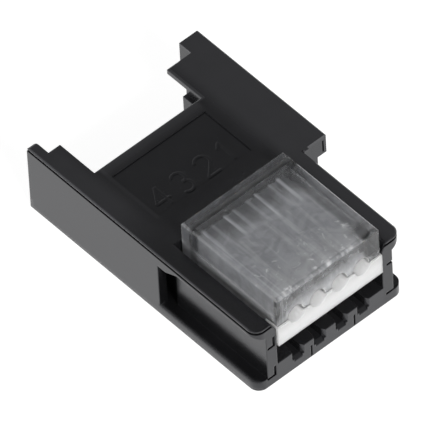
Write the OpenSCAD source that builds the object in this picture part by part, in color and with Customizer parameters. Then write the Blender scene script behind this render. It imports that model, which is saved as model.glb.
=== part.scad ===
// Four-position in-line connector with insulation displacement contacts and a press-down clear cover.
// Millimetres. X runs along the contact row, +Y towards the mating end, Z up.
// The origin lies on the bottom face, under the middle of the contact row and half way along the body.

/* [Body] */
// length from the wire end to the tip of the keying rail
body_l = 23.3; // [22.6:0.05:25.2]
// width over the wire-end flanges
body_w = 13.5; // [13.2:0.02:14.7]
// height of the body
body_h = 6.25; // [6.1:0.05:7.1]
// length of the top plate, from the wire end
plate_l = 18.5; // [17.5:0.1:19.3]
// thickness of the top plate over the mating cavity
top_t = 0.9; // [0.75:0.05:1.05]
// thickness of the bottom plate
base_t = 0.9; // [0.75:0.05:0.95]
// plan radius of the wire-end corners
corner_r = 0.8; // [0.5:0.05:1]
// bevel along the top outer edges
edge_bevel = 0.1; // [0.05:0.01:0.13]
// width of the fine line moulded below the top outer edges
line_w = 0.22; // [0.06:0.02:0.26]
// depth of that line
line_d = 0.1; // [0.04:0.02:0.14]
// distance from the top face down to that line
line_drop = 0.17; // [0.15:0.01:0.3]

/* [Wire end] */
// distance between contacts
pitch = 2; // [1.9:0.05:2.05]
// width of the recess that takes the cover
recess_w = 9.76; // [9.66:0.02:10.06]
// width of the lead-in along the top inner edges of the recess
lead_w = 0.46; // [0.3:0.02:0.6]
// height of that lead-in
lead_h = 0.84; // [0.6:0.02:1]
// length of that recess
recess_l = 9.92; // [9.88:0.02:10.2]
// height of the recess floor
floor_h = 1.73; // [1.6:0.01:1.9]
// width of the contact slots in the floor
slot_w = 0.75; // [0.72:0.01:0.9]
// height of the bottom of those slots
slot_h = 0.96; // [0.96:0.02:1.06]
// how far the mouths of the slots widen on each side
mouth_w = 0.18; // [0.1:0.01:0.22]
// length of those mouths
mouth_l = 0.28; // [0.2:0.02:0.4]
// depth of the bevel at the bottom of those mouths
mouth_h = 0.26; // [0.1:0.02:0.4]
// depth of the grooves along both sides of the wire end
waist_in = 0.94; // [0.5:0.02:1]
// height of the outer face of the top flanges
flange_t = 0.63; // [0.5:0.01:0.9]
// height of the slope under the top flanges
flange_slope = 0.58; // [0.4:0.02:1.4]
// distance from the wire end to the latch windows
window_y = 9.26; // [9.2:0.02:9.3]
// length of the latch windows
window_l = 0.78; // [0.72:0.02:0.84]
// how far the taller flange over the latch windows runs back from them
lintel_l = 1.2; // [0.8:0.1:2]
// distance from the top face down to the latch windows
window_drop = 1.2; // [1.15:0.05:1.25]
// width of the fine lines moulded into the wire-end faces
mark_w = 0.2; // [0.1:0.02:0.24]

/* [Mating end] */
// width of the mating cavity
cavity_w = 9.2; // [8.7:0.02:9.4]
// thickness of the cavity side walls
cavity_wall = 0.55; // [0.4:0.01:0.62]
// width of the ledge on top of each of them, beside the lip above
ledge_w = 0.34; // [0.2:0.02:0.36]
// how far the cavity side walls stand out past the top plate
cavity_lead = 1.58; // [1:0.02:2]
// thickness of the wall behind the cavity
back_wall = 1.1; // [1:0.05:1.3]
// thickness of the left guide arm
arm_t = 0.75; // [0.62:0.01:0.82]
// how far the left guide arm reaches past the rail
arm_out = 0.2; // [0:0.02:0.4]
// radius of the top corner at its tip
arm_r = 0.3; // [0.2:0.05:0.6]
// radius of the inner corner at its tip, seen from above
tip_r = 0.4; // [0.2:0.05:0.55]
// clear width between the lips of the guide arms
arm_gap = 9.88; // [9.4:0.02:10.2]
// thickness of those lips
lip_t = 0.42; // [0.3:0.02:0.6]
// how far the lips stop short of the arm tips
lip_back = 1.24; // [0.8:0.02:1.6]

/* [Keying rail] */
// how far the rail stands out past the right side
rail_out = 2.18; // [2:0.02:2.6]
// width of the rail
rail_w = 1.75; // [1.55:0.01:1.95]
// height of the rail
rail_h = 1.84; // [1.6:0.02:2.1]
// distance from the wire end to the rail
rail_y = 10.13; // [10.08:0.01:10.4]
// how far the wall below the rail is set in
web_in = 0.82; // [0.4:0.02:0.88]

/* [Marking field] */
// width of the shallow field for the position marks
field_w = 8.6; // [8:0.1:9.2]
// length of the field
field_l = 4.9; // [4:0.1:5.3]
// distance from the front edge of the top plate to the field
field_back = 1.05; // [0.8:0.05:1.4]
// depth of the field
field_d = 0.12; // [0.08:0.01:0.3]

/* [Cover] */
// side clearance of the cover in its recess
cover_gap = 0.18; // [0.15:0.01:0.2]
// height of the cover
cover_h = 4.64; // [4.5:0.02:5]
// travel of the cover from open to closed
press_travel = 1.73; // [1.6:0.01:1.78]
// space left under the closed cover
seat_gap = 0.05; // [0.04:0.01:0.1]
// bevel along the top edges of the cover
cover_bevel = 0.12; // [0.05:0.01:0.2]
// thickness of the top and the side walls of the cover
shell_t = 0.52; // [0.46:0.01:0.56]
// thickness of the front wall of the cover
cover_front = 0.84; // [0.6:0.02:0.94]
// length of the sight gap behind the front wall
sight_l = 0.63; // [0.4:0.01:0.7]
// width of the narrow gaps inside the side walls
side_cut = 0.16; // [0.1:0.01:0.18]
// height of the guide ribs on the sides
rib_h = 0.74; // [0.5:0.02:0.84]
// how far the guide ribs stand out
rib_out = 0.1; // [0.05:0.01:0.12]
// how far the latch noses stand out
nose_out = 0.38; // [0.3:0.02:0.5]
// diameter of the wire holes
wire_d = 1.4; // [1.3:0.02:1.5]
// height of the wire axes above the wire guide
wire_rise = 0.15; // [0:0.05:0.4]
// diameter of the vent holes from the wire holes to the front
vent_d = 0.5; // [0.4:0.02:0.6]

/* [Wire guide] */
// height of the top of the white wire guide above the underside of the cover
guide_h = 1.94; // [1.84:0.02:2.04]
// how far its underside lies above that of the cover
guide_lift = 0.12; // [0:0.02:0.4]
// thickness of the wire guide
guide_t = 1.3; // [1:0.05:1.5]
// how far the wire guide stands out at the wire end
guide_out = 0.16; // [0:0.02:0.3]
// how much wider than the cover it is, on each side
guide_wide = 0.1; // [0.04:0.01:0.12]
// diameter of its two pegs
peg_d = 0.5; // [0.4:0.02:0.56]
// clearance around the pegs
peg_gap = 0.02; // [0.01:0.01:0.04]

/* [Contacts] */
// sheet thickness of the contacts
sheet_t = 0.3; // [0.25:0.01:0.32]
// side clearance of the contacts in their slots
contact_gap = 0.04; // [0.03:0.01:0.06]
// distance from the wire end to the rear fork
fork_y = 3.15; // [2.75:0.05:3.55]
// distance between the two forks
fork_step = 3; // [2.5:0.1:3.1]
// height of the fork tips
fork_h = 4.7; // [4.5:0.02:4.9]
// width of the fork slots
fork_slot = 0.26; // [0.2:0.01:0.28]
// height of the bottom of the fork slots
fork_root = 2.7; // [2.5:0.05:2.85]
// width of the pins
pin_w = 0.5; // [0.4:0.02:0.56]
// height of the middle of the pins
pin_h = 3.12; // [2.9:0.02:3.2]
// length of the pins inside the cavity
pin_l = 3.8; // [3:0.1:4.2]

/* [Hidden] */
$fn = 48;
e = 0.01;
rear = -body_l / 2;
half_w = body_w / 2;
half_r = recess_w / 2;
waist = half_w - waist_in;
cav_x = cavity_w / 2;
wall_x = cav_x + cavity_wall;
cav_y = recess_l + back_wall;
cav_top = body_h - top_t;
flange_z = body_h - flange_t;
win_top = body_h - window_drop;
win_end = window_y + window_l;
lip_x = arm_gap / 2;
arm_y = body_l + arm_out;
lip_y = body_l - lip_back;
rail_x = half_w + rail_out;
rail_in = rail_x - rail_w;
rail_z = body_h - rail_h;
web_x = rail_x - web_in;
rows = [-1.5 * pitch, -0.5 * pitch, 0.5 * pitch, 1.5 * pitch];
hole = pin_w + 2 * contact_gap;
line_z = body_h - line_drop - line_w;
cov_x = half_r - cover_gap;
cov_l = recess_l - cover_gap;
cov_z = floor_h + seat_gap + press_travel;
cov_top = cov_z + cover_h;
guide_top = cov_z + guide_h;
wire_z = guide_top + wire_rise;
fork_top = fork_h + press_travel + 0.1;
core_x = cov_x - shell_t - side_cut;
sight_y = cov_l - cover_front - sight_l;
rib_z = body_h + 0.15;
nose_z = win_top - 0.1;
seat_y = guide_t - guide_out;
peg_z = cov_z + 0.42 * guide_h;
strip_w = slot_w - 2 * contact_gap;
tip_y = cav_y + pin_l;

// A block given by its low and high corners.
module box(a, b) {
    translate(a) cube(b - a);
}

// A plate whose two wire-end corners are rounded.
module end_plate(hw, y1, z0, z1, r) {
    box([r - hw, 0, z0], [hw - r, y1, z1]);
    box([-hw, r, z0], [hw, y1, z1]);
    for (s = [-1, 1]) translate([s * (hw - r), r, z0]) cylinder(h = z1 - z0, r = r);
}

// A straight prism along Y, from its section in X and Z.
module rib_y(pts, y0, y1) {
    translate([0, y1, 0]) rotate([90, 0, 0]) linear_extrude(height = y1 - y0) polygon(pts);
}

// A straight prism along X, from its section in Y and Z.
module rib_x(pts, x0, x1) {
    translate([x0, 0, 0]) rotate([90, 0, 90]) linear_extrude(height = x1 - x0) polygon(pts);
}

// The bevel cut along a top edge that runs in Y at x.
module edge_cut(x, z, c, y0, y1) {
    translate([x, y0, z]) rotate([0, 45, 0]) translate([-c / sqrt(2), 0, -c / sqrt(2)])
        cube([c * sqrt(2), y1 - y0, c * sqrt(2)]);
}

// The bevel cut round one wire-end corner of the top flanges.
module corner_cut(s) {
    c = edge_bevel;
    intersection() {
        translate([s * (half_w - corner_r), corner_r, body_h - c]) difference() {
            cylinder(h = 1, r = corner_r + 1);
            translate([0, 0, -1]) cylinder(h = 1 + e, r = corner_r);
            cylinder(h = c, r1 = corner_r, r2 = corner_r - c);
            cylinder(h = 2, r = corner_r - c);
        }
        translate([s * (half_w - corner_r + 1) - 1, -1, body_h - 1]) cube([2, corner_r + 1, 3]);
    }
}

// Wire end: plates, waist and the slopes under the top flanges.
module wire_end() {
    end_plate(half_w, cav_y, 0, base_t, corner_r);
    end_plate(half_w, cav_y, flange_z, body_h, corner_r);
    box([-waist, 0, 0], [waist, cav_y, body_h - e]);
    intersection() {
        union() {
            for (s = [-1, 1])
                rib_y([[s * (waist - e), flange_z - flange_slope], [s * (waist - e), flange_z + e],
                    [s * half_w, flange_z + e], [s * half_w, flange_z]], 0, cav_y);
        }
        end_plate(half_w, cav_y, 0, body_h, corner_r);
    }
    for (s = [-1, 1])
        rib_x([[window_y - lintel_l, flange_z], [window_y, win_top], [win_end + e, win_top],
            [win_end + e, flange_z + e], [window_y - lintel_l, flange_z + e]],
            s > 0 ? half_w - arm_t : -half_w, s > 0 ? half_w : arm_t - half_w);
}

// Left guide arm: its top corner at the tip is round seen from the side, its inner corner seen from above.
module left_arm() {
    inner = arm_t - half_w;
    intersection() {
        union() {
            box([-half_w, win_end, 0], [inner, arm_y, body_h - arm_r]);
            box([-half_w, win_end, 0], [inner, arm_y - arm_r, body_h]);
            translate([-half_w, arm_y - arm_r, body_h - arm_r]) rotate([0, 90, 0]) cylinder(h = arm_t, r = arm_r);
        }
        union() {
            box([-half_w, win_end, 0], [inner - tip_r, arm_y, body_h]);
            box([-half_w, win_end, 0], [inner, arm_y - tip_r, body_h]);
            translate([inner - tip_r, arm_y - tip_r, 0]) cylinder(h = body_h, r = tip_r);
        }
    }
}

// Mating end: the plates round the cavity, its side walls and the left guide arm.
module mating_end() {
    box([-half_w, recess_l, cav_top], [rail_in + e, plate_l, body_h]);
    box([-half_w, recess_l, 0], [half_w, plate_l, base_t]);
    for (s = [-1, 1]) {
        box([s > 0 ? cav_x : -wall_x, recess_l, 0],
            [s > 0 ? wall_x : -cav_x, plate_l + cavity_lead, cav_top]);
        box([s > 0 ? cav_x + ledge_w : -wall_x, plate_l - 1, cav_top - e],
            [s > 0 ? wall_x : -cav_x - ledge_w, plate_l + cavity_lead, body_h - lip_t + e]);
    }
    left_arm();
    box([-half_w, plate_l - 1, body_h - lip_t], [-lip_x, lip_y, body_h]);
}

// Keying rail on the right side, with its web and the lip of the right arm.
module rail_side() {
    box([rail_in, rail_y, rail_z], [rail_x, body_l, body_h]);
    box([rail_in, rail_y, 0], [web_x, plate_l, body_h]);
    box([waist, rail_y, 0], [web_x, cav_y, body_h]);
    box([waist, rail_y, 0], [web_x, plate_l, base_t]);
    box([lip_x, plate_l - 1, body_h - lip_t], [rail_in + e, lip_y, body_h]);
}

// Lead-ins: the top inner edges of the recess, and the widened mouth of each floor slot.
module lead_ins() {
    for (s = [-1, 1])
        rib_y([[s * (half_r - 0.5), body_h - lead_h], [s * half_r, body_h - lead_h],
            [s * (half_r + lead_w), body_h], [s * (half_r + lead_w), body_h + 1],
            [s * (half_r - 0.5), body_h + 1]], -1, recess_l);
    h = slot_w / 2;
    for (x = rows) {
        translate([x, 0, slot_h]) linear_extrude(height = floor_h - slot_h + 1)
            polygon([[-h - mouth_w, -1], [h + mouth_w, -1], [h + mouth_w, 0], [h, mouth_l],
                [-h, mouth_l], [-h - mouth_w, 0]]);
        rib_x([[-1, slot_h - mouth_h], [0, slot_h - mouth_h], [mouth_l, slot_h], [-1, slot_h]], x - h, x + h);
    }
}

// The fine line that runs below the top edge, round the wire end and along both sides.
module fine_line() {
    difference() {
        union() {
            box([-half_w - 1, -1, line_z], [e, body_l + 1, line_z + line_w]);
            box([0, -1, line_z], [half_w + 1, rail_y - 0.4, line_z + line_w]);
        }
        translate([0, line_d, 0])
            end_plate(half_w - line_d, body_l + 2, line_z - 1, line_z + 1, corner_r - line_d);
    }
}

// Bevels along the top outer edges.
module top_bevels() {
    edge_cut(-half_w, body_h, edge_bevel, corner_r, body_l + 1);
    edge_cut(half_w, body_h, edge_bevel, corner_r, rail_y);
    edge_cut(rail_x, body_h, edge_bevel, rail_y - 1, body_l + 1);
    rotate([0, 0, -90]) edge_cut(0, body_h, edge_bevel, corner_r - half_w, half_w - corner_r);
    for (s = [-1, 1]) corner_cut(s);
}

// Fine lines on the faces at the wire end: round the posts, on two floor teeth and on the end of the rail.
module end_marks() {
    x0 = half_r + 0.15;
    d = 0.15;
    for (z = [base_t - 0.19, body_h - 2.46]) {
        box([z < base_t ? -waist - 0.05 : 0.1 - waist, -1, z], [-x0, d, z + mark_w]);
        box([-x0 - mark_w, -1, z], [-x0, d, z + 1]);
        translate([0, 0, z < base_t ? 0.13 : 0])
            box([waist - (z < base_t ? 0.69 : 0.53), -1, z], [half_w + 1, d, z + mark_w]);
    }
    for (x = [-0.93 * pitch, 1.05 * pitch])
        box([x, -1, 0.1], [x + 0.7 * mark_w, d, floor_h - 0.57]);
    box([rail_x - 0.36, rail_y - 1, rail_z + 0.2], [rail_x - 0.36 + 0.7 * mark_w, rail_y + d, body_h - 0.5]);
}

// One moulding: body, guide arms and keying rail.
module housing() {
    color([0.05, 0.05, 0.055]) translate([0, rear, 0]) difference() {
        union() {
            wire_end();
            mating_end();
            rail_side();
        }
        box([-half_r, -1, floor_h], [half_r, recess_l, body_h + 1]);
        for (x = rows) {
            box([x - slot_w / 2, -1, slot_h], [x + slot_w / 2, recess_l + e, floor_h + 1]);
            box([x - slot_w / 2, recess_l - 1, slot_h],
                [x + slot_w / 2, recess_l + sheet_t + 0.15, pin_h + hole / 2 + 0.06]);
            box([x - hole / 2, recess_l, pin_h - hole / 2], [x + hole / 2, cav_y + 1, pin_h + hole / 2]);
        }
        box([-cav_x, cav_y, base_t], [cav_x, body_l + 1, cav_top]);
        box([-half_w + arm_t, window_y, base_t], [-wall_x, plate_l + e, cav_top]);
        box([wall_x, cav_y, base_t], [rail_in, plate_l + e, cav_top]);
        for (s = [-1, 1]) {
            box([s > 0 ? half_r - 0.5 : -half_w - 1, window_y, base_t],
                [s > 0 ? half_w + 1 : 0.5 - half_r, win_end, win_top]);
            box([s * half_r - 0.2, recess_l - 0.6, floor_h], [s * half_r + 0.2, recess_l, body_h + 1]);
        }
        lead_ins();
        box([-field_w / 2, plate_l - field_back - field_l, body_h - field_d],
            [field_w / 2, plate_l - field_back, body_h + 1]);
        end_marks();
        top_bevels();
        fine_line();
    }
}

// Clear cover, drawn in its open position.
module cover() {
    color([0.62, 0.64, 0.66, 0.45]) translate([0, rear, 0]) difference() {
        union() {
            box([-cov_x, 0, cov_z], [cov_x, cov_l, cov_top]);
            box([-cov_x - rib_out, 0.3, rib_z - rib_h], [cov_x + rib_out, cov_l - 1.3, rib_z]);
            box([-cov_x - nose_out, window_y + 0.12, nose_z - 0.65],
                [cov_x + nose_out, cov_l - 0.08, nose_z]);
        }
        box([-cov_x - 1, -1, cov_z - 1], [cov_x + 1, seat_y, guide_top]);
        for (x = rows) {
            translate([x, -1, wire_z]) rotate([-90, 0, 0]) {
                cylinder(h = sight_y + 1 + e, d = wire_d);
                cylinder(h = cov_l + 2, d = vent_d);
            }
            for (k = [0, 1])
                box([x - slot_w / 2 - 0.05, fork_y + k * fork_step - 0.15, cov_z - 1],
                    [x + slot_w / 2 + 0.05, fork_y + k * fork_step + sheet_t + 0.15, fork_top]);
        }
        box([-core_x - side_cut, sight_y, cov_z - 1],
            [core_x + side_cut, sight_y + sight_l, cov_top - shell_t]);
        for (s = [-1, 1]) {
            box([s > 0 ? core_x : -core_x - side_cut, seat_y + 0.6, cov_z - 1],
                [s > 0 ? core_x + side_cut : -core_x, sight_y + e, cov_top - shell_t]);
            edge_cut(s * cov_x, cov_top, cover_bevel, -1, cov_l + 1);
            translate([s * pitch, seat_y - 1, peg_z]) rotate([-90, 0, 0])
                cylinder(h = 1.8, r = peg_d / 2 + peg_gap);
        }
        for (y = [0, cov_l])
            rotate([0, 0, -90]) edge_cut(-y, cov_top, cover_bevel, -cov_x - 1, cov_x + 1);
    }
}

// White wire guide under the rear edge of the cover, with a trough for each wire.
module wire_guide() {
    gx = cov_x + guide_wide;
    color([0.93, 0.93, 0.91]) translate([0, rear, 0]) {
        difference() {
            box([-gx, -guide_out, cov_z + guide_lift], [gx, seat_y, guide_top]);
            for (x = rows)
                translate([x, -2, wire_z]) rotate([-90, 0, 0]) cylinder(h = 9, d = wire_d);
        }
        for (s = [-1, 1])
            translate([s * pitch, seat_y - 0.3, peg_z]) rotate([-90, 0, 0]) cylinder(h = 1, d = peg_d);
    }
}

// One stamped contact: strip, two forks, riser and pin.
module contact(x) {
    zs = slot_h;
    y1 = recess_l + 0.08;
    color([0.78, 0.62, 0.3]) translate([x, rear, 0]) difference() {
        union() {
            box([-strip_w / 2, fork_y - 1, zs], [strip_w / 2, y1 + sheet_t, zs + sheet_t]);
            for (k = [0, 1])
                box([-strip_w / 2, fork_y + k * fork_step, zs],
                    [strip_w / 2, fork_y + k * fork_step + sheet_t, fork_h]);
            box([-strip_w / 2, y1, zs], [strip_w / 2, y1 + sheet_t, pin_h + pin_w / 2]);
            box([-pin_w / 2, y1, pin_h - pin_w / 2], [pin_w / 2, tip_y, pin_h + pin_w / 2]);
        }
        for (k = [0, 1]) translate([0, fork_y + k * fork_step - 1, 0]) {
            box([-fork_slot / 2, 0, fork_root], [fork_slot / 2, 3 * sheet_t + 1, fork_h + 1]);
            translate([0, 0, fork_root]) rotate([-90, 0, 0]) cylinder(h = 2, d = fork_slot);
            rib_y([[0, fork_h - 0.3], [0.26, fork_h + 0.1], [-0.26, fork_h + 0.1]], 0, 2);
        }
    }
}

module contact_1() {
    contact(rows[0]);
}

module contact_2() {
    contact(rows[1]);
}

module contact_3() {
    contact(rows[2]);
}

module contact_4() {
    contact(rows[3]);
}

housing();
cover();
wire_guide();
contact_1();
contact_2();
contact_3();
contact_4();
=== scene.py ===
import bpy
import numpy as np
from mathutils import Matrix


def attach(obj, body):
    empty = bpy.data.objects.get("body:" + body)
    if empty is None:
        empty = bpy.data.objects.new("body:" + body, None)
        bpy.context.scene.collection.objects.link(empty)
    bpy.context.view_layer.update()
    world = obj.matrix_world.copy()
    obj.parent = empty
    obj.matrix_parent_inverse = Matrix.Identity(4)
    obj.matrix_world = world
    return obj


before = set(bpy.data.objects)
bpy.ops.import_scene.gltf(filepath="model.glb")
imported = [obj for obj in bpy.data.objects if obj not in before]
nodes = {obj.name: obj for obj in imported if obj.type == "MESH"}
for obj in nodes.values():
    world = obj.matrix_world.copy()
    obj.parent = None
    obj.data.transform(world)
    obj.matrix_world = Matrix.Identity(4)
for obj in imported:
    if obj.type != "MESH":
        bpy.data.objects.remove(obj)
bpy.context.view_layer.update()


# Housing
# One black moulding of filled thermoplastic: wire end, top plate, guide arms and keying rail in one shot.
# The mould is finely spark eroded, so the faces are satin, and every edge keeps the cutter's small radius.

MM = 0.001


class Shade:
    """A value in one material's nodes. Operators add Math nodes, and node() adds a node of any other kind."""

    def __init__(self, tree, socket=None):
        self.tree = tree
        self.socket = socket

    def node(self, kind, settings=(), sockets=(), out=0):
        """Adds a node: its settings first, then a number, a colour or another Shade on each socket named.

        The setting called stops holds a ramp's places and grey levels; out names one output or several.
        """
        made = self.tree.nodes.new(kind)
        for name, value in dict(settings).items():
            if name == "stops":
                ramp = made.color_ramp.elements
                while len(ramp) < len(value):
                    ramp.new(0.5)
                for stop, (place, level) in zip(ramp, value):
                    stop.position = place
                    stop.color = (level, level, level, 1.0)
            else:
                setattr(made, name, value)
        for name, value in dict(sockets).items():
            if isinstance(value, Shade):
                self.tree.links.new(value.socket, made.inputs[name])
            else:
                made.inputs[name].default_value = value
        if isinstance(out, tuple):
            return [Shade(self.tree, made.outputs[name]) for name in out]
        return Shade(self.tree, made.outputs[out]) if made.outputs else None

    def maths(self, operation, first, second):
        return self.node("ShaderNodeMath", {"operation": operation}, {0: first, 1: second})

    def rise(self, start, stop):
        """Runs smoothly from 0 at start to 1 at stop, and is level outside them."""
        return self.node("ShaderNodeMapRange", {"interpolation_type": "SMOOTHSTEP"},
                         {"Value": self, "From Min": start, "From Max": stop})

    def ridge(self, crest, reach):
        """Runs smoothly from 0 to 1 at crest and back to 0, over reach on either side of it."""
        return self.rise(crest - reach, crest) * self.rise(crest + reach, crest)

    def __abs__(self):
        return self.maths("ABSOLUTE", self, 0.0)

    def __add__(self, other):
        return self.maths("ADD", self, other)

    def __mul__(self, other):
        return self.maths("MULTIPLY", self, other)

    def __sub__(self, other):
        return self.maths("SUBTRACT", self, other)

    def __rsub__(self, other):
        return self.maths("SUBTRACT", other, self)

    def __pow__(self, other):
        return self.maths("POWER", self, other)

    __radd__ = __add__
    __rmul__ = __mul__


def finish_nodes(name):
    """An empty node material and the Shade that its nodes hang on."""
    finish = bpy.data.materials.new(name)
    finish.use_nodes = True
    finish.node_tree.nodes.clear()
    return finish, Shade(finish.node_tree)


def coordinates(s):
    """A material's Object coordinates: the point in metres, for patterns, then X, Y and Z in millimetres."""
    place = s.node("ShaderNodeTexCoord", out="Object")
    scaled = s.node("ShaderNodeVectorMath", {"operation": "SCALE"}, {0: place, "Scale": 1.0 / MM})
    return [place] + s.node("ShaderNodeSeparateXYZ", {}, {"Vector": scaled}, out=("X", "Y", "Z"))


def dress(piece, finish):
    """Gives a piece this finish alone."""
    piece.data.materials.clear()
    piece.data.materials.append(finish)


BLACK = (0.005, 0.005, 0.0055, 1.0)
# A paler black, used both for wear and for painted light.
BLACK_WORN_AND_LIT = (0.04, 0.04, 0.043, 1.0)
SHEEN = (0.93, 0.94, 1.0, 1.0)
SATIN_ROUGHNESS = 0.17
CUTTER_RADIUS = 0.12 * MM
FOOT_RADIUS = 0.5 * MM
FREE_REACH = 0.3 * MM
# Noise scales per metre, and the depth of the eroded grain.
FLOW_SCALE, GRAIN_SCALE, GRAIN_DEPTH = 420.0, 15000.0, 0.02 * MM
# Heights and places on the moulding, in millimetres.
TOP_FACE, FIELD_FLOOR, BASE_TOP = 6.25, 6.13, 0.9
FIELD_SIDE, FIELD_BACK = 4.28, 5.78

moulded_black, s = finish_nodes("satin_black_moulding")
place, x, y, z = coordinates(s)
flow = s.node("ShaderNodeTexNoise", {}, {"Vector": place, "Scale": FLOW_SCALE, "Detail": 3.0})
grain = s.node("ShaderNodeTexNoise", {}, {"Vector": place, "Scale": GRAIN_SCALE, "Detail": 2.0})
facing = s.node("ShaderNodeNewGeometry", out="Normal")
rounded = s.node("ShaderNodeBevel", {"samples": 6}, {"Radius": CUTTER_RADIUS})
foot_round = s.node("ShaderNodeBevel", {"samples": 6}, {"Radius": FOOT_RADIUS})
free = s.node("ShaderNodeAmbientOcclusion", {"samples": 6, "only_local": True},
              {"Distance": FREE_REACH}, out="AO")

# Edges that stand free are rounded, except round the marking field and on the rail, which are crisp;
# the upper edge of the base has a larger radius along the left side.
field = abs(x).rise(4.7, 4.5) * y.rise(0.5, 0.7) * y.rise(6.2, 6.0) * z.rise(6.0, 6.05)
outer = free.rise(0.6, 0.85) * (1.0 - field) * (1.0 - x.rise(5.8, 6.2))
foot = z.rise(BASE_TOP + 0.05, BASE_TOP + 0.01) * x.rise(-6.2, -6.4)
turned = s.node("ShaderNodeMix", {"data_type": "VECTOR"},
                {"Factor": outer, "A": facing, "B": rounded}, out=1)
turned = s.node("ShaderNodeMix", {"data_type": "VECTOR"},
                {"Factor": foot, "A": turned, "B": foot_round}, out=1)
along = s.node("ShaderNodeVectorMath", {"operation": "DOT_PRODUCT"}, {0: turned, 1: facing}, out="Value")
edge = along.rise(1.0, 0.75)

# A paler black stands for wear and for painted light. It is paler in flow clouds, on the edges, on the
# plate's mating edge, the strip by the cover and the walls of the field. As painted light it lightens the
# tops of the rail and the left arm where light falls on them, and the ledge inside the right arm and the
# floor of the wire end in their shade. It also draws a painted highlight along the left border of the field.
on_top = z.rise(TOP_FACE - 0.05, TOP_FACE - 0.01)
on_plate = abs(x).rise(4.7, 4.3) * on_top
# Painted light: the tops of the rail and the left arm are made paler where light falls on them.
rail_top_lit = x.rise(4.5, 6.2) * z.rise(5.9, 6.2)
arm_top_lit = x.rise(-4.2, -5.8) * y.rise(-2.0, 4.0) * z.rise(5.9, 6.2)
mating_edge = y.rise(5.6, 6.9) * on_plate
cover_strip = y.rise(0.7, -0.3) * x.rise(-4.2, -3.0) * on_plate
# Painted light: the ledge inside the right arm is made paler, though it lies in shade.
ledge_lit = y.rise(6.6, 6.8) * x.rise(4.5, 4.6) * x.rise(5.2, 5.1) * z.rise(5.2, 5.3)
field_wall = ((x.rise(FIELD_SIDE - 0.04, FIELD_SIDE) + y.rise(FIELD_BACK - 0.04, FIELD_BACK)) * field
              * z.rise(FIELD_FLOOR, FIELD_FLOOR + 0.02) * z.rise(TOP_FACE, TOP_FACE - 0.01))
# Painted highlight: a pale line along the left border of the field.
field_border_highlight = x.rise(-4.7, -4.5) * x.rise(-4.25, -4.4) * y.rise(0.4, 1.0) * on_top
# Painted light: the floor of the wire end is made paler, though it lies in shade.
wire_floor_lit = abs(x).rise(5.0, 4.8) * y.rise(-1.5, -2.0) * z.rise(3.8, 3.4)
# Wear and painted light together set how far the black turns paler.
wear_and_painted_light = (edge * 0.2 + flow * 0.2 + rail_top_lit * 0.68 + arm_top_lit * 0.51 + mating_edge * 0.68 + cover_strip * 0.25
        + ledge_lit * 0.7 + field_wall * 0.6 + field_border_highlight * 0.2 + wire_floor_lit * 0.3)
colour = s.node("ShaderNodeMix", {"data_type": "RGBA"}, {"Factor": wear_and_painted_light, "A": BLACK, "B": BLACK_WORN_AND_LIT}, out=2)

skin = s.node("ShaderNodeBump", {},
              {"Strength": 0.12, "Distance": GRAIN_DEPTH, "Height": grain, "Normal": turned})
surface = s.node("ShaderNodeBsdfPrincipled", {},
                 {"Base Color": colour, "Roughness": SATIN_ROUGHNESS + flow * 0.06, "IOR": 1.56,
                  "Specular Tint": SHEEN, "Normal": skin})
s.node("ShaderNodeOutputMaterial", {}, {"Surface": surface})
dress(nodes["housing"], moulded_black)


# Position figures
# Four figures, 4 to 1 from left to right, stand up from the floor of the marking field.
# They were cut into the mould with a round-nosed cutter, so each stroke is a low bar with soft flanks.


def arc(centre, radius, start, stop, count=14):
    """Points on a circle from one angle to the other, in degrees."""
    turn = np.radians(np.linspace(start, stop, count))
    return np.stack([centre[0] + radius * np.cos(turn), centre[1] + radius * np.sin(turn)], axis=1)


def even_path(corners, step):
    """The same line with points at even steps along it, and how far along it each point lies."""
    run = np.concatenate([[0.0], np.cumsum(np.linalg.norm(np.diff(corners, axis=0), axis=1))])
    stops = np.linspace(0.0, run[-1], max(int(run[-1] / step), 4))
    return np.stack([np.interp(stops, run, corners[:, k]) for k in (0, 1)], axis=1), stops


def stroke_rings(corners, pen, low, high, around=20):
    """Rings of a raised stroke: a flat oval section carried along a centre line.

    Across the line the section is the superellipse u^4 + v^4 = 1, one pen radius to each side and from low
    to high; the pen closes to nothing as a semicircle over its own radius at both ends.
    """
    line, run = even_path(corners, pen * 0.3)
    heading = np.gradient(line, axis=0)
    heading /= np.linalg.norm(heading, axis=1)[:, None]
    across = np.stack([-heading[:, 1], heading[:, 0]], axis=1)
    inward = np.minimum(run, run[-1] - run) / pen
    width = pen * np.sqrt(np.clip(1.0 - (1.0 - np.minimum(inward, 1.0)) ** 2, 0.0, 1.0))
    turn = np.linspace(0.0, 2 * np.pi, around, endpoint=False)
    u = np.sign(np.cos(turn)) * np.abs(np.cos(turn)) ** 0.5
    v = np.sign(np.sin(turn)) * np.abs(np.sin(turn)) ** 0.5
    flat = line[:, None, :] + (width[:, None] * u[None, :])[:, :, None] * across[:, None, :]
    middle, half = (low + high) / 2, (high - low) / 2
    tall = middle + half * v[None, :] * np.sqrt(width / pen)[:, None]
    return np.concatenate([flat, tall[:, :, None]], axis=2)


def closed_rings(rings):
    """Points and faces of a tube of rings whose first and last rings are single points."""
    count, around = rings.shape[0] - 2, rings.shape[1]
    points = np.concatenate([rings[0, :1], rings[1:-1].reshape(-1, 3), rings[-1, :1]])
    grid = 1 + np.arange(count * around).reshape(count, around)
    turned = np.roll(grid, -1, axis=1)
    walls = np.stack([grid[:-1], turned[:-1], turned[1:], grid[1:]], axis=-1).reshape(-1, 4).tolist()
    start = np.stack([np.full(around, 0), turned[0], grid[0]], axis=-1).tolist()
    end = np.stack([np.full(around, len(points) - 1), grid[-1], turned[-1]], axis=-1).tolist()
    return points.tolist(), walls + start + end


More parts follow.
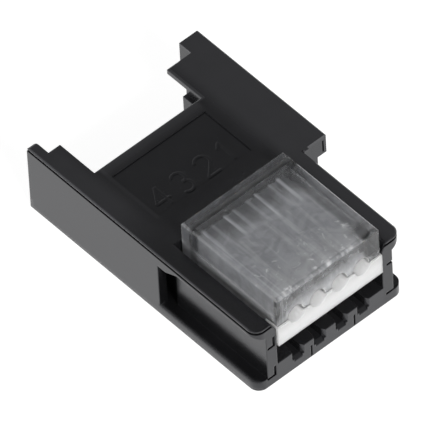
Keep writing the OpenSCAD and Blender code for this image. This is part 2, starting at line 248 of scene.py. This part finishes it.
FIGURE_HEIGHT = 1.94 * MM
FIGURE_FOOT_Y = 1.13 * MM
FIGURE_MIDDLE = (0.33, 0.0)
PEN_RADIUS = 0.12 * MM
STROKE_LOW = (FIELD_FLOOR - 0.04) * MM
STROKE_HIGH = (FIELD_FLOOR + 0.05) * MM
# Each figure's middle along the row in millimetres, and its centre line in parts of its height.
FIGURES = (
    ("4", -3.05, [(0.46, 0.0), (0.46, 1.0), (0.0, 0.32), (0.66, 0.32)]),
    ("3", -1.0, np.concatenate([arc((0.3, 0.74), 0.26, 150, -80), arc((0.3, 0.27), 0.27, 80, -150)])),
    ("2", 1.15, np.concatenate([arc((0.31, 0.71), 0.29, 165, -35), [(0.02, 0.0), (0.62, 0.0)]])),
    ("1", 3.05, [(0.1, 0.76), (0.32, 1.0), (0.32, 0.0)]),
)

for figure, middle_x, centre_line in FIGURES:
    corners = (np.asarray(centre_line) - FIGURE_MIDDLE) * FIGURE_HEIGHT + (middle_x * MM, FIGURE_FOOT_Y)
    points, faces = closed_rings(stroke_rings(corners, PEN_RADIUS, STROKE_LOW, STROKE_HIGH))
    mesh = bpy.data.meshes.new("figure_" + figure)
    mesh.from_pydata(points, [], faces)
    mesh.shade_smooth()
    piece = bpy.data.objects.new("figure_" + figure, mesh)
    bpy.context.scene.collection.objects.link(piece)
    dress(piece, moulded_black)
    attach(piece, "housing")


# Contacts
# Four contacts stamped from thin copper alloy and plated, pressed into the floor slots from the wire end.
# Rolling leaves a fine grain along the strip, and the plating is a little uneven.

PLATING = (0.80, 0.66, 0.36, 1.0)
PLATING_DULL = (0.56, 0.43, 0.22, 1.0)
STAMPED_EDGE = 0.03 * MM
ROLLED_GRAIN = (16000.0, 900.0, 2500.0)
ROLLED_DEPTH = 0.01 * MM
PLATING_SCALE = 1200.0

plated, s = finish_nodes("plated_contact_alloy")
place = s.node("ShaderNodeTexCoord", out="Object")
stretched = s.node("ShaderNodeMapping", {}, {"Vector": place, "Scale": ROLLED_GRAIN})
rolled = s.node("ShaderNodeTexNoise", {}, {"Vector": stretched, "Scale": 1.0, "Detail": 3.0})
clouds = s.node("ShaderNodeTexNoise", {}, {"Vector": place, "Scale": PLATING_SCALE, "Detail": 3.0})
rounded = s.node("ShaderNodeBevel", {"samples": 4}, {"Radius": STAMPED_EDGE})
colour = s.node("ShaderNodeMix", {"data_type": "RGBA"},
                {"Factor": clouds * 0.6 + rolled * 0.2, "A": PLATING, "B": PLATING_DULL}, out=2)
skin = s.node("ShaderNodeBump", {},
              {"Strength": 0.15, "Distance": ROLLED_DEPTH, "Height": rolled, "Normal": rounded})
surface = s.node("ShaderNodeBsdfPrincipled", {},
                 {"Base Color": colour, "Metallic": 1.0, "Roughness": 0.2 + rolled * 0.18, "Normal": skin})
s.node("ShaderNodeOutputMaterial", {}, {"Surface": surface})
for position in (1, 2, 3, 4):
    dress(nodes["contact_%d" % position], plated)


# Wire guide
# A white moulded strip with a trough for each wire, held under the rear edge of the cover by two pegs.
# Unfilled plastic from a plain mould: smooth, slightly waxy, with faint flow clouds; painted shade greys the
# upper part of its rear face.

WHITE = (0.97, 0.97, 0.965, 1.0)
# A greyer white, for the flow clouds and for painted shade.
WHITE_CLOUDS_AND_SHADE = (0.72, 0.72, 0.715, 1.0)
GUIDE_EDGE = 0.12 * MM
GUIDE_SCATTER = 0.5 * MM
EVEN_SCATTER = (1.0, 1.0, 1.0)
WAX_SCALE, WAX_GRAIN_SCALE, WAX_GRAIN_DEPTH = 700.0, 9000.0, 0.02 * MM

guide_white, s = finish_nodes("white_wire_guide")
place, _, y, z = coordinates(s)
clouds = s.node("ShaderNodeTexNoise", {}, {"Vector": place, "Scale": WAX_SCALE, "Detail": 3.0})
grain = s.node("ShaderNodeTexNoise", {}, {"Vector": place, "Scale": WAX_GRAIN_SCALE, "Detail": 2.0})
rounded = s.node("ShaderNodeBevel", {"samples": 6}, {"Radius": GUIDE_EDGE})
# Painted shade: the rear face greys towards its upper edge.
painted_shade_top = y.rise(-11.7, -11.78) * z.rise(4.4, 5.6)
colour = s.node("ShaderNodeMix", {"data_type": "RGBA"},
                {"Factor": clouds * 0.2 + painted_shade_top * 0.7, "A": WHITE, "B": WHITE_CLOUDS_AND_SHADE}, out=2)
skin = s.node("ShaderNodeBump", {},
              {"Strength": 0.08, "Distance": WAX_GRAIN_DEPTH, "Height": grain, "Normal": rounded})
surface = s.node("ShaderNodeBsdfPrincipled", {},
                 {"Base Color": colour, "Roughness": 0.38 + clouds * 0.16, "Normal": skin,
                  "Subsurface Weight": 1.0, "Subsurface Radius": EVEN_SCATTER,
                  "Subsurface Scale": GUIDE_SCATTER})
s.node("ShaderNodeOutputMaterial", {}, {"Surface": surface})
dress(nodes["wire_guide"], guide_white)


# Cover
# A clear moulded block with four wire holes, pressed down over the forks to seat the wires.
# The plastic is thick and milky, more so towards the wire end, so the black recess under it looks mid grey.

CLEAR = (0.95, 0.955, 0.96, 1.0)
HAZE = (0.405, 0.414, 0.436, 1.0)
HAZE_WHITE = (0.94, 0.94, 0.94, 1.0)
COVER_EDGE = 0.18 * MM
HAZE_SCATTER = 1.2 * MM
FLOW_GRAIN = (2600.0, 160.0, 1200.0)
CLOUD_SCALE, BUBBLE_SCALE = 700.0, 1900.0
RIPPLE_SCALE, RIPPLE_DEPTH = 1500.0, 0.05 * MM
# Places on the cover, in millimetres.
REAR, TOP = -11.65, 8.15
HALF_PITCH = 1.0
WIRE_AXIS, WIRE_RADIUS = 5.6, 0.7


def from_lines(x, shift):
    """Distance from the nearest of the lines that lie a pitch apart, each shift to the left of a contact."""
    return HALF_PITCH - x.maths("PINGPONG", x + shift, HALF_PITCH)


clear_cover, s = finish_nodes("clear_hazy_cover")
place, x, y, z = coordinates(s)
clouds = s.node("ShaderNodeTexNoise", {},
                {"Vector": place, "Scale": CLOUD_SCALE, "Detail": 6.0, "Distortion": 1.5})
drawn = s.node("ShaderNodeMapping", {}, {"Vector": place, "Scale": FLOW_GRAIN})
streaks = s.node("ShaderNodeTexNoise", {}, {"Vector": drawn, "Scale": 1.0, "Detail": 3.0})
ripple = s.node("ShaderNodeTexNoise", {}, {"Vector": place, "Scale": RIPPLE_SCALE, "Detail": 2.0})
bubbles = s.node("ShaderNodeTexNoise", {},
                 {"Vector": place, "Scale": BUBBLE_SCALE, "Detail": 2.0, "Distortion": 0.6})
facing = s.node("ShaderNodeNewGeometry", out="Normal")
rounded = s.node("ShaderNodeBevel", {"samples": 6}, {"Radius": COVER_EDGE})

# Edges are rounded except along the right side, the front wall, the sight gap and the front of the left side.
sight_gap = y.rise(-3.7, -3.5) * z.rise(7.9, 7.8)
left = x.rise(-4.4, -4.6)
soft = x.rise(4.4, 4.2) * y.rise(-2.2, -2.4) * (1.0 - sight_gap) * (1.0 - left * y.rise(-6.0, -4.0))
turned = s.node("ShaderNodeMix", {"data_type": "VECTOR"},
                {"Factor": soft, "A": facing, "B": rounded}, out=1)
skin = s.node("ShaderNodeBump", {},
              {"Strength": 0.12, "Distance": RIPPLE_DEPTH, "Height": ripple, "Normal": turned})

# Flow marks: clouds, drawn-out lines, and small bubbles near the wire end of the top.
blotch = clouds.rise(0.3, 0.7)
line = streaks.rise(0.45, 0.7)
top_skin = z.rise(TOP - 0.2, TOP - 0.1)
fleck = bubbles.rise(0.6, 0.74) * y.rise(-7.5, -9.8) * top_skin

# Haze is thin in a band along the right side and in the right rear corner, and thickens behind the sight gap.
band = x.rise(3.1, 3.6) * (1.0 - x.rise(4.1, 4.5) * 0.5)
corner = x.rise(2.4, 3.6) * y.rise(REAR + 1.8, REAR + 0.9) * (0.4 + z.rise(TOP - 0.3, TOP - 0.1) * 0.6)
behind_gap = y.rise(-3.4, -3.7) * (1.0 - band * 0.7)
milky = (y + line * 0.6).rise(-3.7, -5.9) * (1.0 - band * 0.55) * (1.0 - corner * 0.65)
far = y.rise(-8.5, -11.2)
# Painted light: the foot of the left side is made whiter and milkier where it lies in shade in the gap.
painted_left_foot_light = left * z.rise(6.6, 6.0)

# Painted glints: pale streaks run back from the sight gap beside each wire hole, for light the holes' walls
# would mirror, and two pale lines follow the left side gap.
glint = from_lines(x, 0.3).rise(0.22, 0.02) * (0.4 + x.rise(-4.0, 3.0) * 0.5 + x.rise(1.5, 2.4) * 0.8)
second_glint = from_lines(x, -0.9).rise(0.22, 0.02) * (1.0 - x.rise(-2.8, 2.0) * 0.6)
streak_run = y.rise(-3.3, -3.6) * y.rise(-6.8, -5.0) * (1.0 - band)
side_line = x.ridge(-4.2, 0.12) * y.rise(-3.5, -3.8)
second_side_line = x.ridge(-3.82, 0.1) * y.rise(-7.5, -9.5)

# The front wall and its edges, then the rear face with its wire holes and the white that shines up into it,
# all partly painted light: edge highlights, glints, the glow from the guide and whiter hole walls.
front = y.rise(-2.9, -2.6)
lip = y.rise(-3.1, -2.85) * y.rise(-2.3, -2.6) * top_skin
# Painted highlight: a soft milky line along the top edge of the front wall, for its reflection.
gap_edge_highlight = y.ridge(-2.63, 0.12) * z.rise(7.9, 8.1)
right_brim = x.rise(4.55, 4.6) * z.rise(TOP - 0.15, TOP - 0.1)
# Painted highlight: the rear top edge is made milkier and paler, for its bright edge line.
rear_brim_highlight = y.rise(REAR + 0.3, REAR + 0.1) * z.rise(TOP - 0.3, TOP - 0.1)
# Painted glints: pale dots a pitch apart along the rear top edge.
painted_brim_glint = (from_lines(x, 0.8).rise(0.32, 0.04) * x.rise(3.0, 2.6) * y.rise(-11.2, -11.35) * z.rise(7.9, 8.1)
            * blotch)
end_face = y.rise(REAR + 0.4, REAR + 0.1)
# Painted light: the rear face is made whiter and milkier towards its foot, for the white glow rising from the
# guide.
painted_guide_glow = (z + abs(x).rise(2.6, 4.8) * 1.2).rise(7.6, 5.6)
from_row, from_height = from_lines(x, 0.0), z - WIRE_AXIS
from_axis = (from_row * from_row + from_height * from_height) ** 0.5
# Painted light: the walls of the wire holes are made whiter and milkier, so they stay light in their own
# shade.
bore_painted_light = (from_axis.rise(WIRE_RADIUS + 0.03, WIRE_RADIUS + 0.01) * abs(x).rise(4.3, 4.1) * y.rise(-9.0, -11.7))

glass = s.node("ShaderNodeBsdfPrincipled", {},
               {"Base Color": CLEAR, "Roughness": 0.08 + milky * 0.12 + lip * 0.3 + corner * 0.2, "IOR": 1.57,
                "Transmission Weight": 1.0, "Normal": skin})
# Flecks, flow lines and the far end are truly whiter; the rest of this paling is painted light.
whiter = (end_face * painted_guide_glow * 0.1 + fleck * 0.3 + line * 0.1 + far * 0.16 + painted_left_foot_light * 0.25 + bore_painted_light * 0.9
          + painted_brim_glint * 0.4)
pale = s.node("ShaderNodeMix", {"data_type": "RGBA"}, {"Factor": whiter, "A": HAZE, "B": HAZE_WHITE}, out=2)
haze = s.node("ShaderNodeBsdfPrincipled", {},
              {"Base Color": pale, "Roughness": 0.4, "Specular IOR Level": 0.1, "Normal": skin,
               "Subsurface Weight": 1.0, "Subsurface Radius": EVEN_SCATTER,
               "Subsurface Scale": HAZE_SCATTER})
# Besides the real haze, painted light adds milkiness at the foot of the left side, along the glints, on the
# gap edge, the rear brim and its glints, at the glow on the rear face and on the hole walls.
amount = (0.06 + behind_gap * (0.145 + blotch * 0.06)
          + milky * (0.34 + blotch * 0.12 + line * 0.08 + fleck * 0.3) * (1.0 - left * 0.65)
          + left * (0.04 + z.rise(6.8, 6.1) * 0.17)
          + streak_run * (glint + second_glint) * (0.32 + line * 0.55)
          + side_line * 0.2 + second_side_line * 0.15
          + front * (0.085 + left * 0.1) + gap_edge_highlight * 0.09 - lip * 0.05
          + right_brim * 0.1 + rear_brim_highlight * (0.3 + line * 0.3) + painted_brim_glint * 0.2
          + end_face * (painted_guide_glow * 0.95 - 0.5) + bore_painted_light * 0.5)
surface = s.node("ShaderNodeMixShader", {}, {"Fac": amount, 1: glass, 2: haze})
s.node("ShaderNodeOutputMaterial", {}, {"Surface": surface})
dress(nodes["cover"], clear_cover)


# Floor and surroundings
# A plain white table; its glow shows directly, mirrored and through glass, and lights no matt face.
# A light tent stands round it: pale near the table, darker overhead and to the right, darkest to the rear.

FLOOR_HALF = 0.6
FLOOR_DROP = -0.02 * MM
PAPER_GREY = (0.42, 0.42, 0.42, 1.0)
GLOW_WHITE = (1.0, 1.0, 1.0, 1.0)
GLOW_STRENGTH = 0.86

side = np.array([-FLOOR_HALF, FLOOR_HALF])
across, along = np.meshgrid(side, side, indexing="ij")
corners = np.stack([across, along, np.full_like(across, FLOOR_DROP)], axis=-1).reshape(-1, 3)
mesh = bpy.data.meshes.new("table_top")
mesh.from_pydata(corners.tolist(), [], [(0, 2, 3, 1)])
table_top = bpy.data.objects.new("table_top", mesh)
bpy.context.scene.collection.objects.link(table_top)

table_white, s = finish_nodes("white_table_top")
paper = s.node("ShaderNodeBsdfDiffuse", {}, {"Color": PAPER_GREY})
glow = s.node("ShaderNodeEmission", {}, {"Color": GLOW_WHITE, "Strength": GLOW_STRENGTH})
lit_paper = s.node("ShaderNodeAddShader", {}, {0: paper, 1: glow})
direct, mirrored, through = s.node("ShaderNodeLightPath",
                                   out=("Is Camera Ray", "Is Glossy Ray", "Is Transmission Ray"))
seen = s.node("ShaderNodeMixShader", {}, {"Fac": direct + mirrored + through, 1: paper, 2: lit_paper})
s.node("ShaderNodeOutputMaterial", {}, {"Surface": seen})
dress(table_top, table_white)

TENT_STRENGTH = 1.58
# Grey level of the tent by height, from the table at 0 to overhead at 1.
TENT_LEVELS = [(0.1, 1.0), (0.5, 0.4), (0.75, 0.14)]

tent = bpy.data.worlds.new("light_tent")
tent.use_nodes = True
tent.node_tree.nodes.clear()
s = Shade(tent.node_tree)
way = s.node("ShaderNodeTexCoord", out="Generated")
x, y, z = s.node("ShaderNodeSeparateXYZ", {}, {"Vector": way}, out=("X", "Y", "Z"))
level = s.node("ShaderNodeValToRGB", {"stops": TENT_LEVELS}, {"Fac": z})
behind_camera = y.rise(-0.15, -0.55) * z.rise(0.12, 0.35)
right_side = x.rise(0.35, 0.75)
shaded = level * (1.0 - behind_camera * 0.75) * (1.0 - right_side * 0.6)
light = s.node("ShaderNodeBackground", {}, {"Color": shaded, "Strength": TENT_STRENGTH})
s.node("ShaderNodeOutputWorld", {}, {"Surface": light})
bpy.context.scene.world = tent


# Lamps
# One broad, weak soft box low on the left, beyond the mating end, draws a line along the left edges.
# A small matt fill panel in front of the wire end lights the wire holes; the glossy faces do not mirror it.

UPRIGHT = np.array([0.0, 0.0, 1.0])
BENEATH_PART = np.zeros(3)
LAMP_PLACE = np.array([-0.5, 0.33, 0.27])
LAMP_SIDE = 0.3
LAMP_POWER = 0.12
FILL_PLACE = np.array([-0.1, -0.4, 0.28])
FILL_SIDE = 0.12
FILL_POWER = 1.5


def facing_matrix(where, target, up):
    """Place and turn of a thing at where whose -Z axis points at target."""
    back = (where - target) / np.linalg.norm(where - target)
    right = np.cross(up, back)
    right /= np.linalg.norm(right)
    turned = np.eye(4)
    turned[:3, :3] = np.stack([right, np.cross(back, right), back], axis=1)
    turned[:3, 3] = where
    return turned


def put(thing, matrix):
    """Adds a lamp or camera to the scene at this matrix."""
    bpy.context.scene.collection.objects.link(thing)
    thing.matrix_world = Matrix(matrix.tolist())


def square_lamp(name, side, power, where):
    """A square lamp with this side and power, turned towards the part."""
    lamp = bpy.data.lights.new(name, "AREA")
    lamp.shape = "SQUARE"
    lamp.size = side
    lamp.energy = power
    hung = bpy.data.objects.new(name, lamp)
    put(hung, facing_matrix(where, BENEATH_PART, UPRIGHT))
    return hung


square_lamp("soft_box", LAMP_SIDE, LAMP_POWER, LAMP_PLACE)
fill_panel = square_lamp("fill_panel", FILL_SIDE, FILL_POWER, FILL_PLACE)
fill_panel.visible_glossy = False


# Camera
# A long lens above the wire end and the left side, turned a little about its own axis.

AZIMUTH, ELEVATION, ROLL = np.radians([-39.36, 49.35, 3.37])
VIEW_WIDTH = 29.15 * MM
DISTANCE = 1.1
MID_HEIGHT = 3.15 * MM
AIM_LEFT, AIM_UP = 0.282 * MM, 0.495 * MM

level_right = np.array([np.cos(AZIMUTH), np.sin(AZIMUTH), 0.0])
level_back = np.array([np.sin(AZIMUTH), -np.cos(AZIMUTH), 0.0])
back = np.cos(ELEVATION) * level_back + np.sin(ELEVATION) * UPRIGHT
level_up = np.cross(back, level_right)
right = np.cos(ROLL) * level_right - np.sin(ROLL) * level_up
up = np.sin(ROLL) * level_right + np.cos(ROLL) * level_up
aim = MID_HEIGHT * UPRIGHT - AIM_LEFT * right + AIM_UP * up

lens = bpy.data.cameras.new("long_lens")
lens.sensor_width = 36.0
lens.lens = lens.sensor_width * DISTANCE / VIEW_WIDTH
camera = bpy.data.objects.new("long_lens", lens)
put(camera, facing_matrix(aim + back * DISTANCE, aim, up))
bpy.context.scene.camera = camera
bpy.context.scene.view_settings.view_transform = "Standard"
